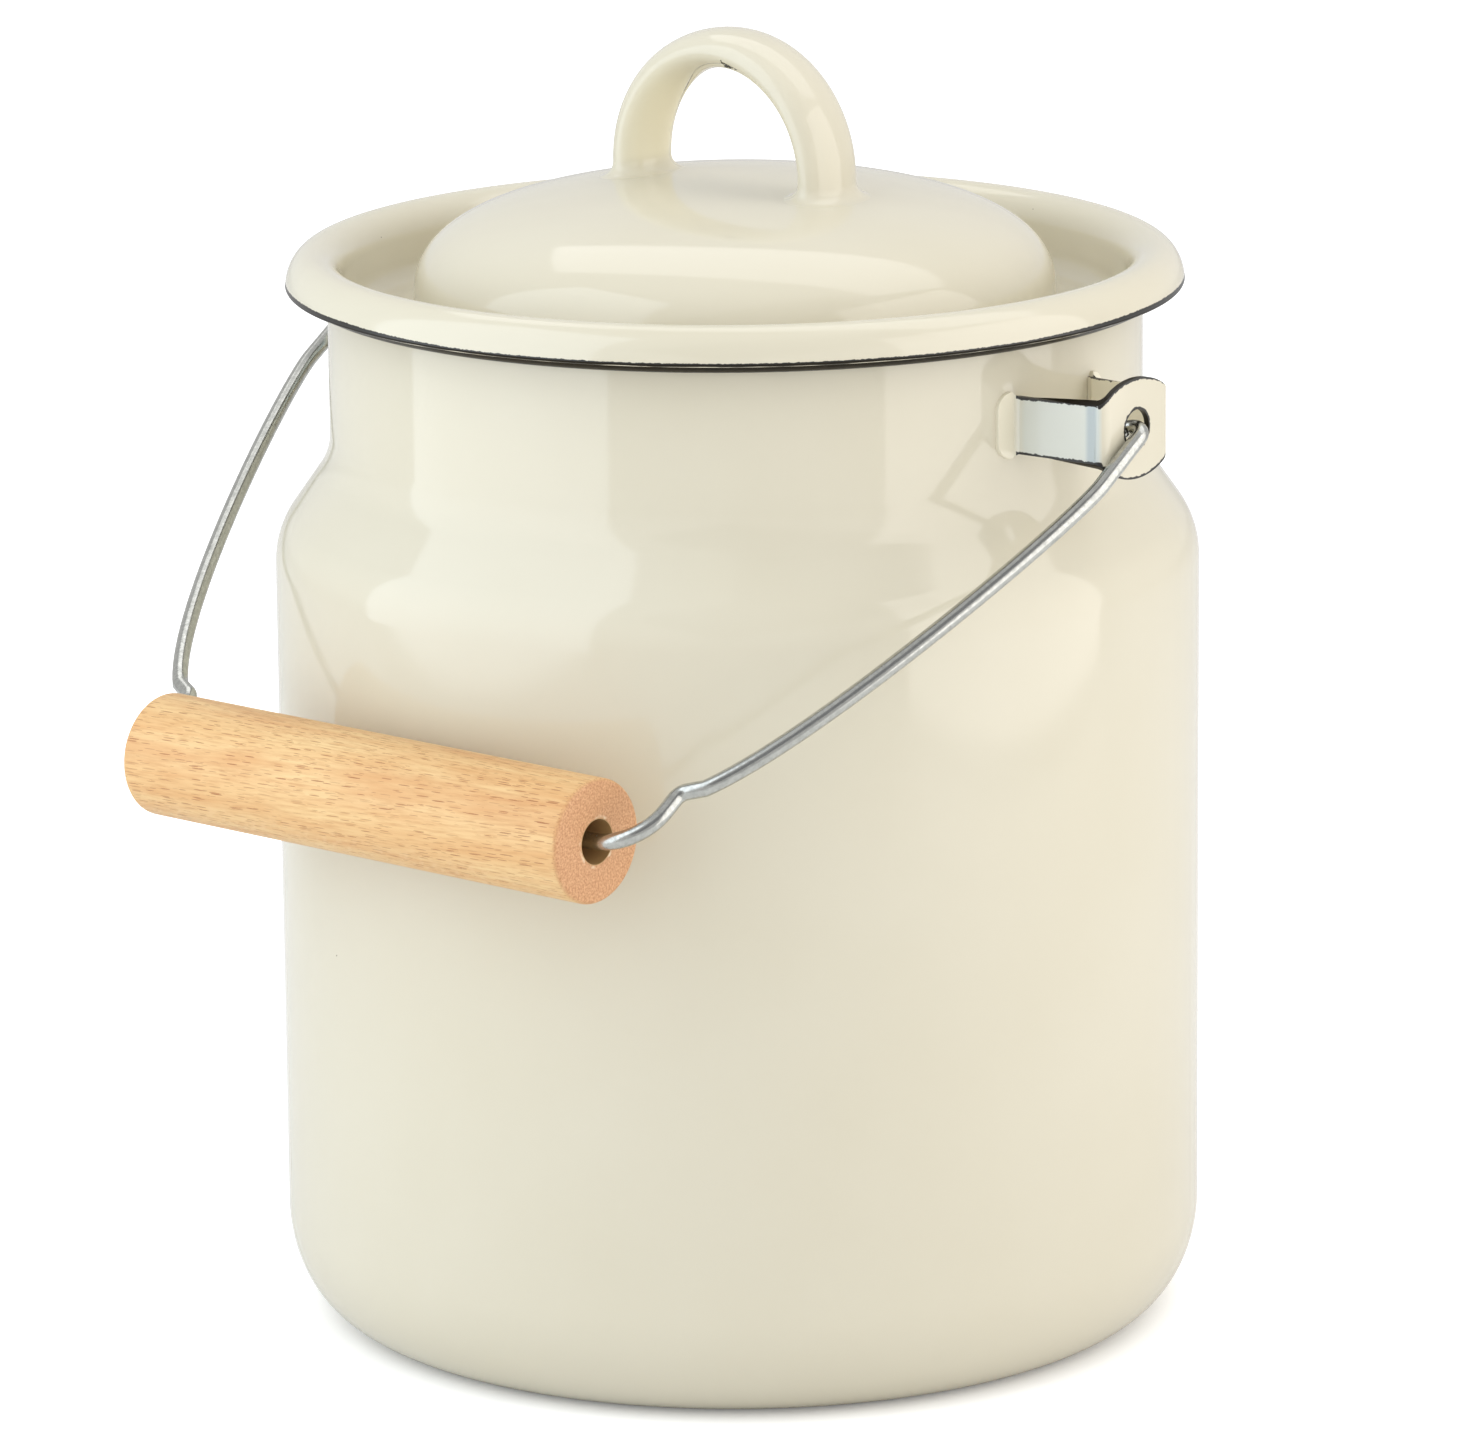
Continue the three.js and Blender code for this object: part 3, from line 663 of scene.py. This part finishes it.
strap = pulledOutline("enamelEarRight", [(x * mm, y * mm, (eyeHeight - eyeRound) * mm) for x, y in plan],
                      (0, 0, ear["eye"] * mm))
for name, outline, operation in (("facePunch", face, "INTERSECT"), ("holePunch", hole, "DIFFERENCE")):
    start, depth = ear[name]
    punch = pulledOutline(name, [(start * mm, y * mm, (eyeHeight + z) * mm) for y, z in outline],
                          (depth * mm, 0, 0))
    applyModifier(strap, "BOOLEAN", operation=operation, solver="EXACT", object=punch)
    bpy.data.objects.remove(punch)
selectOnly(strap)
editAll()
bpy.ops.mesh.remove_doubles(threshold=0.01 * mm)
bpy.ops.mesh.dissolve_limited(angle_limit=math.radians(1))
setMode("OBJECT")
# the tabs' inner faces sink into the neck, and their outer ones until they stand a little proud of it
for vertex in strap.data.vertices:
    reach = Vector((vertex.co.x, vertex.co.y, 0))
    pastLeg = abs(vertex.co.y) / mm - legFace
    if reach.length < (tabRadius - ear["slack"]) * mm:
        vertex.co -= reach.normalized() * ear["tabSink"] * mm
    elif pastLeg > 0:
        vertex.co -= reach.normalized() * ear["tabThin"] * min(pastLeg / ear["tabStep"], 1) * mm
# their rims are rounded off, except along the legs
setMode("EDIT")
bpy.ops.mesh.select_mode(type="EDGE")
clearSelection()
tabFaces = [p for p in strap.data.polygons if abs(p.center.y) > (legFace + ear["tabBlend"]) * mm
            and p.area > ear["tabArea"] * mm * mm
            and p.normal.dot(Vector((p.center.x, p.center.y, 0)).normalized()) > 0.9]
rims = {key for face in tabFaces for key in face.edge_keys}
for edge in strap.data.edges:
    middle = (strap.data.vertices[edge.vertices[0]].co + strap.data.vertices[edge.vertices[1]].co) / 2 / mm
    pastLeg, upLeg = abs(middle.y) - legFace, abs(middle.z - eyeHeight) - halfStrap
    atLeg = pastLeg < ear["nearLeg"] and upLeg < -ear["nearLeg"]
    edge.select = edge.key in rims and not atLeg
print("tab faces", len(tabFaces), "rim edges", sum(e.select for e in strap.data.edges))
setMode("EDIT")
bpy.ops.mesh.bevel(offset=ear["tabRim"] * mm, segments=4, affect="EDGES", clamp_overlap=True)
bpy.ops.mesh.select_mode(type="VERT")
setMode("OBJECT")
applyModifier(strap, "BEVEL", width=ear["edgeRound"] * mm, segments=3, limit_method="ANGLE",
              angle_limit=math.radians(50), use_clamp_overlap=True)
closeShell(strap)
applyModifier(strap, "WEIGHTED_NORMAL", keep_sharp=True)
print("ear reaches", max(v.co.x for v in strap.data.vertices) / mm, "to", earHigh.x / mm)

# The ear's coats. Spans are from and to, along the strap out from the can's axis or across it.
earCoat = {"black": 0.4, "blackEdge": (0.18, 0.7, 0.05), "thinSpan": (3, 7), "thinBy": 0.32,
           "narrowSpan": (74, 83), "narrowBy": 0.3, "eyePlate": 0.7, "farBend": (83, 7.9), "upperBend": 4.5,
           "neckSpan": (70.1, 70.5), "onLeg": 0.15,
           "bluish": "#D3D7CF", "bluishSpan": (70, 88), "bluishShares": [
               (0, 0), (0.12, 0.85), (0.72, 0.8), (0.84, 1), (0.93, 1), (0.96, 0)],
           # painted light on the inner faces and the tabs
           "pale": "#F6EFD8", "paleBehind": 0.8, "tabSpan": (-0.2, 0.4), "tabShare": 0.6,
           # the blue-grey over the bend is partly a thin coat, partly painted shade
           "thinnest": "#B2BCBD", "bendSpans": [(83.9, 85.0), (86.9, 85.9)]}


def earBlack(add, place):
    parts = add("SeparateXYZ", {"Vector": place}).outputs
    level = add("Math", {0: parts["Z"], 1: -eyeHeight * mm})
    height = add("Math", {0: level}, operation="ABSOLUTE")
    reach = add("Math", {0: parts["X"]}, operation="ABSOLUTE")
    wide = add("Math", {0: parts["Y"]}, operation="ABSOLUTE")
    # how far in from the outline of the strap, of the oval eye and of the hole
    strapIn = add("Math", {0: halfStrap * mm, 1: height}, operation="SUBTRACT")
    flat = add("CombineXYZ", {"Y": parts["Y"], "Z": level})
    fromEye = add("VectorMath", {0: flat}, operation="LENGTH")
    squeezed = add("VectorMath", {0: flat, 1: (0, ear["eye"] / ear["eyeWidth"], 1)}, operation="MULTIPLY")
    squeezed = add("VectorMath", {0: squeezed}, operation="LENGTH")
    eyeIn = add("Math", {0: eyeRound * mm, 1: squeezed}, operation="SUBTRACT")
    rimIn = add("Math", {0: strapIn, 1: eyeIn}, operation="MAXIMUM")
    holeIn = add("Math", {0: fromEye, 1: -ear["hole"] / 2 * mm})
    edgeIn = add("Math", {0: rimIn, 1: holeIn}, operation="MINIMUM")
    # the black gets thinner on the far upper shoulder of the eye
    isUpper = add("Math", {0: level, 1: 0.0}, operation="GREATER_THAN")
    side = add("Math", {0: parts["X"]}, operation="SIGN")
    far = add("Math", {0: parts["Y"], 1: side}, operation="MULTIPLY")
    thin = add("MapRange", {"Value": far, **limits(earCoat["thinSpan"]), "To Max": earCoat["thinBy"] * mm})
    thin = add("Math", {0: thin, 1: isUpper}, operation="MULTIPLY")
    # its upper line narrows along the legs towards the eye
    narrow = add("MapRange", {"Value": reach, **limits(earCoat["narrowSpan"]),
                              "To Max": earCoat["narrowBy"] * mm})
    atLeg = add("Math", {0: reach, 1: (eyeRadius - earCoat["eyePlate"]) * mm}, operation="LESS_THAN")
    narrow = add("Math", {0: narrow, 1: atLeg}, operation="MULTIPLY")
    narrow = add("Math", {0: narrow, 1: isUpper}, operation="MULTIPLY")
    # and it ends at the far bend
    outOfLeg = add("Math", {0: reach, 1: earCoat["farBend"][0] * mm}, operation="GREATER_THAN")
    pastBend = add("Math", {0: far, 1: earCoat["farBend"][1] * mm}, operation="GREATER_THAN")
    pastBend = add("Math", {0: pastBend, 1: outOfLeg}, operation="MULTIPLY")
    for trim in (thin, narrow, pastBend):
        edgeIn = add("Math", {0: edgeIn, 1: trim})
    inward = raggedStep(add, place, edgeIn, earCoat["black"], earCoat["blackEdge"])
    black = add("Math", {0: 1.0, 1: inward}, operation="SUBTRACT")
    # the tabs have none
    offNeck = add("MapRange", {"Value": reach, **limits(earCoat["neckSpan"])})
    onLeg = add("Math", {0: wide, 1: (legFace + earCoat["onLeg"]) * mm}, operation="LESS_THAN")
    onLeg = add("Math", {0: onLeg, 1: offNeck}, operation="MULTIPLY")
    return add("Math", {0: black, 1: onLeg}, operation="MULTIPLY")


def earTint(add, place, cream):
    parts = add("SeparateXYZ", {"Vector": place}).outputs
    reach = add("Math", {0: parts["X"]}, operation="ABSOLUTE")
    wide = add("Math", {0: parts["Y"]}, operation="ABSOLUTE")
    # the outer faces lie outside the middle of the strap
    middle = add("MapRange", {"Value": reach, **limits((tabRadius, eyeRadius)),
                              "To Min": ear["footHalfWidth"] * mm, "To Max": ear["halfWidth"] * mm})
    outer = add("Math", {0: wide, 1: middle}, operation="GREATER_THAN")
    # painted light: the inner faces, in shade between strap and neck, are made a paler cream, and so are the
    # tabs, whose enamel is also thicker
    inner = add("Math", {0: 1.0, 1: outer}, operation="SUBTRACT")
    behind = add("Math", {0: reach, 1: (eyeRadius - earCoat["paleBehind"]) * mm}, operation="LESS_THAN")
    inner = add("Math", {0: inner, 1: behind}, operation="MULTIPLY")
    onTab = add("MapRange", {"Value": wide, **limits(earCoat["tabSpan"], legFace),
                             "To Max": earCoat["tabShare"]})
    pale = add("Math", {0: inner, 1: onTab}, operation="MAXIMUM")
    # thin and bluish on the outer ones
    along = add("MapRange", {"Value": reach, **limits(earCoat["bluishSpan"])})
    ramp = add("ValToRGB", {"Fac": along})
    setStops(ramp, earCoat["bluishShares"])
    bluish = add("Math", {0: ramp, 1: outer}, operation="MULTIPLY")
    # and a blue-grey band over the bend beside the eye: partly the thinnest coat, partly painted shade of the
    # bend
    bend = outer
    for pair in earCoat["bendSpans"]:
        fade = add("MapRange", {"Value": reach, **limits(pair)}, interpolation_type="SMOOTHSTEP")
        bend = add("Math", {0: bend, 1: fade}, operation="MULTIPLY")
    for share, colour in ((pale, "pale"), (bluish, "bluish"), (bend, "thinnest")):
        cream = add("Mix", {"Factor": share, "A": cream, "B": earCoat[colour]}, data_type="RGBA")
    return cream


# the strap's upper and lower edges and the wall of the hole, but not the tabs
def isEarEdge(middle, normal):
    fromEye = math.hypot(middle.y, middle.z - eyeHeight)
    inHole = fromEye < ear["hole"] / 2 + ear["slack"] and abs(normal.x) < 0.5
    bendStart = earCoat["farBend"][1] if middle.z < eyeHeight else earCoat["upperBend"]
    farOut = math.copysign(middle.y, middle.y * middle.x) > bendStart
    atFarBend = farOut and abs(middle.x) > earCoat["farBend"][0]
    onLeg = abs(middle.y) < legFace and abs(middle.x) > tabRadius - ear["thickness"] / 2
    return inHole or (abs(normal.z) > 0.5 and onLeg and not atFarBend)


earMaterial = enamelMaterial("creamEnamelEar", earBlack, earTint)
earLeft = strap.copy()
earLeft.data = strap.data.copy()
earLeft.name = earLeft.data.name = "enamelEarLeft"
scene.collection.objects.link(earLeft)
earLeft.rotation_euler = (0, 0, math.pi)
for piece, node in ((strap, "bail_ear_right"), (earLeft, "bail_ear_left")):
    settle(piece, "can", node, earMaterial)
    bareEdges(piece, isEarEdge)


# Bail: zinc-plated drawn wire, hooked through both eyes and kinked beside the grip
bail = {"diameter": 2.8, "slimShare": 0.999, "hookTail": 2.4, "kinkOut": 6.3, "kinkDepth": 13.3,
        "kinkRound": 2.2, "mouthRound": 9.0, "legShoulder": 14.0, "legKnee": 4.1, "kneeShare": 0.5,
        "turnShare": 0.105, "inShare": 0.467, "upShare": 0.195, "legSteps": 40, "endRound": 0.35}
# the grip's radius is a hair under the solid's, so that rounding leaves it inside
grip = {"bore": 7.6, "edgeRound": 0.9, "facets": 96, "hair": 0.0002}
gripMiddle = (gripLow + gripHigh) / 2 / mm
gripHalf = (gripHigh.x - gripLow.x) / 2 / mm
gripRadius = (gripHigh.z - gripLow.z) / 2 / mm - grip["hair"]
hookTurn = ear["thickness"] / 2 + restGap + bail["diameter"] / 2
drop = eyeHeight - gripMiddle.z
bailLength = math.hypot(gripMiddle.y, drop)
bailAngle = math.atan2(-gripMiddle.y, drop)
upright = gripHalf + bail["kinkOut"]
kinkTop = bailLength - bail["kinkDepth"]
legStart = Vector((eyeRadius + hookTurn, bail["legShoulder"]))
legEnd = Vector((upright + bail["legKnee"], kinkTop - bail["legKnee"] * bail["kneeShare"]))
legDrop, legIn = legEnd.y - legStart.y, legStart.x - legEnd.x
pulls = (legStart, legStart + Vector((0, legDrop * bail["turnShare"])),
         legEnd + Vector((legIn * bail["inShare"], -legDrop * bail["upShare"])), legEnd)
leg = []
for i in range(bail["legSteps"] + 1):
    t = i / bail["legSteps"]
    weights = ((1 - t) ** 3, 3 * t * (1 - t) ** 2, 3 * t * t * (1 - t), t ** 3)
    leg.append(sum((weight * pull for weight, pull in zip(weights, pulls)), Vector((0, 0))))
halfWire = [(eyeRadius - hookTurn, hookTurn + bail["hookTail"]),
            *arc((eyeRadius, hookTurn), (hookTurn, hookTurn), math.pi, 2 * math.pi, 22), *leg,
            *roundedLine([legEnd, (upright, kinkTop), (upright, bailLength), (0, bailLength)],
                         [bail["kinkRound"], bail["mouthRound"]], 12)[1:]]
route = [(x, -y * math.sin(bailAngle), eyeHeight - y * math.cos(bailAngle)) for x, y in halfWire]
route += [(-x, y, z) for x, y, z in reversed(route[:-1])]
curve = bpy.data.curves.new("zincBail", "CURVE")
curve.dimensions = "3D"
curve.bevel_depth = bail["diameter"] / 2 * mm * bail["slimShare"]
curve.bevel_resolution = 8
curve.use_fill_caps = True
spline = curve.splines.new("POLY")
spline.points.add(len(route) - 1)
for point, (x, y, z) in zip(spline.points, route):
    point.co = (x * mm, y * mm, z * mm, 1)
bailWire = bpy.data.objects.new("zincBail", curve)
scene.collection.objects.link(bailWire)
selectOnly(bailWire)
bpy.ops.object.convert(target="MESH")
bailWire = bpy.context.object
closeShell(bailWire, 50)
# the cut ends, which are the faces of many sides, are broken by a small round
clearSelection()
for polygon in bailWire.data.polygons:
    polygon.select = len(polygon.vertices) > 8
setMode("EDIT")
bpy.ops.mesh.region_to_loop()
bpy.ops.mesh.bevel(offset=bail["endRound"] * mm, segments=3, affect="EDGES")
closeShell(bailWire, 50)

# Zinc-plated steel wire, drawn: bright, with a fine mottle and shallow die marks
zinc = {"dark": "#929490", "bright": "#D8D8D3", "mottleSpan": 0.9, "dull": 0.28, "shiny": 0.15,
        "pitSpan": 0.35, "pitDepth": 0.012}
wireMaterial = bpy.data.materials.new("zincPlatedWire")
add = startNodes(wireMaterial)
place = add("TexCoord").outputs["Object"]
mottle = add("TexNoise", {"Vector": place, "Scale": 1 / mm / zinc["mottleSpan"], "Detail": 4.0,
                          "Roughness": 0.65})
plating = add("Mix", {"Factor": mottle, "A": zinc["dark"], "B": zinc["bright"]}, data_type="RGBA")
rough = add("MapRange", {"Value": mottle, "From Min": 0.3, "From Max": 0.7, "To Min": zinc["dull"],
                         "To Max": zinc["shiny"]})
pits = add("TexNoise", {"Vector": place, "Scale": 1 / mm / zinc["pitSpan"], "Detail": 3.0})
bump = add("Bump", {"Height": pits, "Distance": zinc["pitDepth"] * mm, "Strength": 0.5})
shader = add("BsdfPrincipled", {"Base Color": plating, "Metallic": 1.0, "Roughness": rough, "Normal": bump})
add("OutputMaterial", {"Surface": shader})
settle(bailWire, "bail", "bail_wire", wireMaterial)


# Grip: turned beech with a drilled bore, loose on the wire
edge, bore = grip["edgeRound"], grip["bore"] / 2
profile = [(gripHalf, bore), *arc((gripHalf - edge, gripRadius - edge), (edge, edge), 0, quarter, 8),
           *[(share * gripHalf, gripRadius) for share in (0.5, 0, -0.5)],
           *arc((edge - gripHalf, gripRadius - edge), (edge, edge), quarter, math.pi, 8),
           (-gripHalf, bore), *[(share * gripHalf, bore) for share in (-0.9, -0.5, 0, 0.5, 0.9)],
           (gripHalf, bore)]
woodGrip = drawLine("beechGrip", [((gripMiddle.x + x) * mm, gripMiddle.y * mm, (gripMiddle.z + r) * mm)
                                  for x, r in profile])
editAll()
bpy.ops.mesh.spin(steps=grip["facets"], angle=2 * math.pi, center=gripMiddle * mm, axis=(1, 0, 0))
closeShell(woodGrip, 45)

# Beech, turned and sanded, matt: straw to orange in long bands, with fine fibres, short dark flecks
# and pale rays on the underside
beech = {"tan": "#DEAE75", "roughness": 0.5, "lean": 3, "layers": [
             # colour, span of its noise, how much that is drawn out along the grain, detail, where the
             # colour starts, where it is full, and its most
             ("#EBCA92", 2.2, 0.06, 4.0, 0.3, 0.7, 1.0),
             ("#CC8A50", 7, 0.22, 3.0, 0.48, 0.72, 0.5),
             ("#C58A53", 0.42, 0.08, 3.0, 0.45, 0.75, 0.55)],
         "fibreDepth": 0.03, "fleck": "#A05A26", "fleckSpan": 0.27, "fleckStretch": 0.07,
         "fleckSize": (0.1, 0.42), "fleckShare": (0.2, 0.8),
         "ray": "#E9C592", "raySpan": 1.1, "raySlant": 38, "rayStretch": 0.35, "rayShare": 0.6,
         "underside": (-3.5, -7.5), "end": (-0.7, -0.1), "endDark": "#BE8456", "endPale": "#E3B285",
         "endSpan": 0.38, "chip": "#EAD5B3", "chipSpan": 2.5, "chipDepth": (0.75, 0.3),
         "inside": "#BC9562", "insideDepth": (0.25, 0.02)}
beechMaterial = bpy.data.materials.new("turnedBeech")
add = startNodes(beechMaterial)
middled = add("Mapping", {"Vector": add("TexCoord").outputs["Object"], "Location": tuple(-gripMiddle * mm)})
leaned = add("Mapping", {"Vector": middled, "Rotation": (0, math.radians(beech["lean"]), 0)})
wood = beech["tan"]
for colour, span, stretch, detail, start, full, most in beech["layers"]:
    drawn = add("Mapping", {"Vector": leaned, "Scale": (stretch, 1, 1)})
    noise = add("TexNoise", {"Vector": drawn, "Scale": 1 / mm / span, "Detail": detail, "Roughness": 0.6})
    share = add("MapRange", {"Value": noise, "From Min": start, "From Max": full, "To Max": most})
    wood = add("Mix", {"Factor": share, "A": wood, "B": colour}, data_type="RGBA")
fibres = noise  # of the last layer
# each fleck is the middle of one long cell
longCells = add("Mapping", {"Vector": leaned, "Scale": (beech["fleckStretch"], 1, 1)})
cells = add("TexVoronoi", {"Vector": longCells, "Scale": 1 / mm / beech["fleckSpan"]})
pick = add("SeparateColor", {"Color": cells.outputs["Color"]})
size = add("MapRange", {"Value": pick, "To Min": beech["fleckSize"][0], "To Max": beech["fleckSize"][1]})
isFleck = add("Math", {0: cells, 1: size}, operation="LESS_THAN")
dark = add("MapRange", {"Value": pick.outputs["Green"], "To Min": beech["fleckShare"][0],
                        "To Max": beech["fleckShare"][1]})
fleck = add("Math", {0: isFleck, 1: dark}, operation="MULTIPLY")
# pale ray figure, slanting across the underside
parts = add("SeparateXYZ", {"Vector": middled}).outputs
slanted = add("Mapping", {"Vector": middled, "Rotation": (0, math.radians(beech["raySlant"]), 0)})
slanted = add("Mapping", {"Vector": slanted, "Scale": (beech["rayStretch"], 1, 1)})
noise = add("TexNoise", {"Vector": slanted, "Scale": 1 / mm / beech["raySpan"], "Detail": 3.0})
rays = add("MapRange", {"Value": noise, "From Min": 0.5, "From Max": 0.66, "To Max": beech["rayShare"]})
under = add("MapRange", {"Value": parts["Z"], **limits(beech["underside"])})
figure = add("Math", {0: rays, 1: under}, operation="MULTIPLY")
# end grain
along = add("Math", {0: parts["X"]}, operation="ABSOLUTE")
atEnd = add("MapRange", {"Value": along, **limits(beech["end"], gripHalf)})
noise = add("TexNoise", {"Vector": middled, "Scale": 1 / mm / beech["endSpan"], "Detail": 4.0})
pores = add("MapRange", {"Value": noise, "From Min": 0.34, "From Max": 0.68})
endGrain = add("Mix", {"Factor": pores, "A": beech["endDark"], "B": beech["endPale"]}, data_type="RGBA")
# the bore's mouth is chipped pale in places
across = add("CombineXYZ", {"Y": parts["Y"], "Z": parts["Z"]})
fromAxis = add("VectorMath", {0: across}, operation="LENGTH")
atMouth = add("MapRange", {"Value": fromAxis, **limits(beech["chipDepth"], bore)})
noise = add("TexNoise", {"Vector": middled, "Scale": 1 / mm / beech["chipSpan"]})
chips = add("MapRange", {"Value": noise, "From Min": 0.57, "From Max": 0.66})
chipped = add("Math", {0: atMouth, 1: chips}, operation="MULTIPLY")
inBore = add("MapRange", {"Value": fromAxis, **limits(beech["insideDepth"], bore)})
for share, colour in ((fleck, beech["fleck"]), (figure, beech["ray"]), (atEnd, endGrain),
                      (chipped, beech["chip"]), (inBore, beech["inside"])):
    wood = add("Mix", {"Factor": share, "A": wood, "B": colour}, data_type="RGBA")
bump = add("Bump", {"Height": fibres, "Distance": beech["fibreDepth"] * mm, "Strength": 0.4})
shader = add("BsdfPrincipled", {"Base Color": wood, "Roughness": beech["roughness"], "Normal": bump})
add("OutputMaterial", {"Surface": shader})
settle(woodGrip, "grip", "wooden_grip", beechMaterial)

scene.view_settings.view_transform = "Standard"
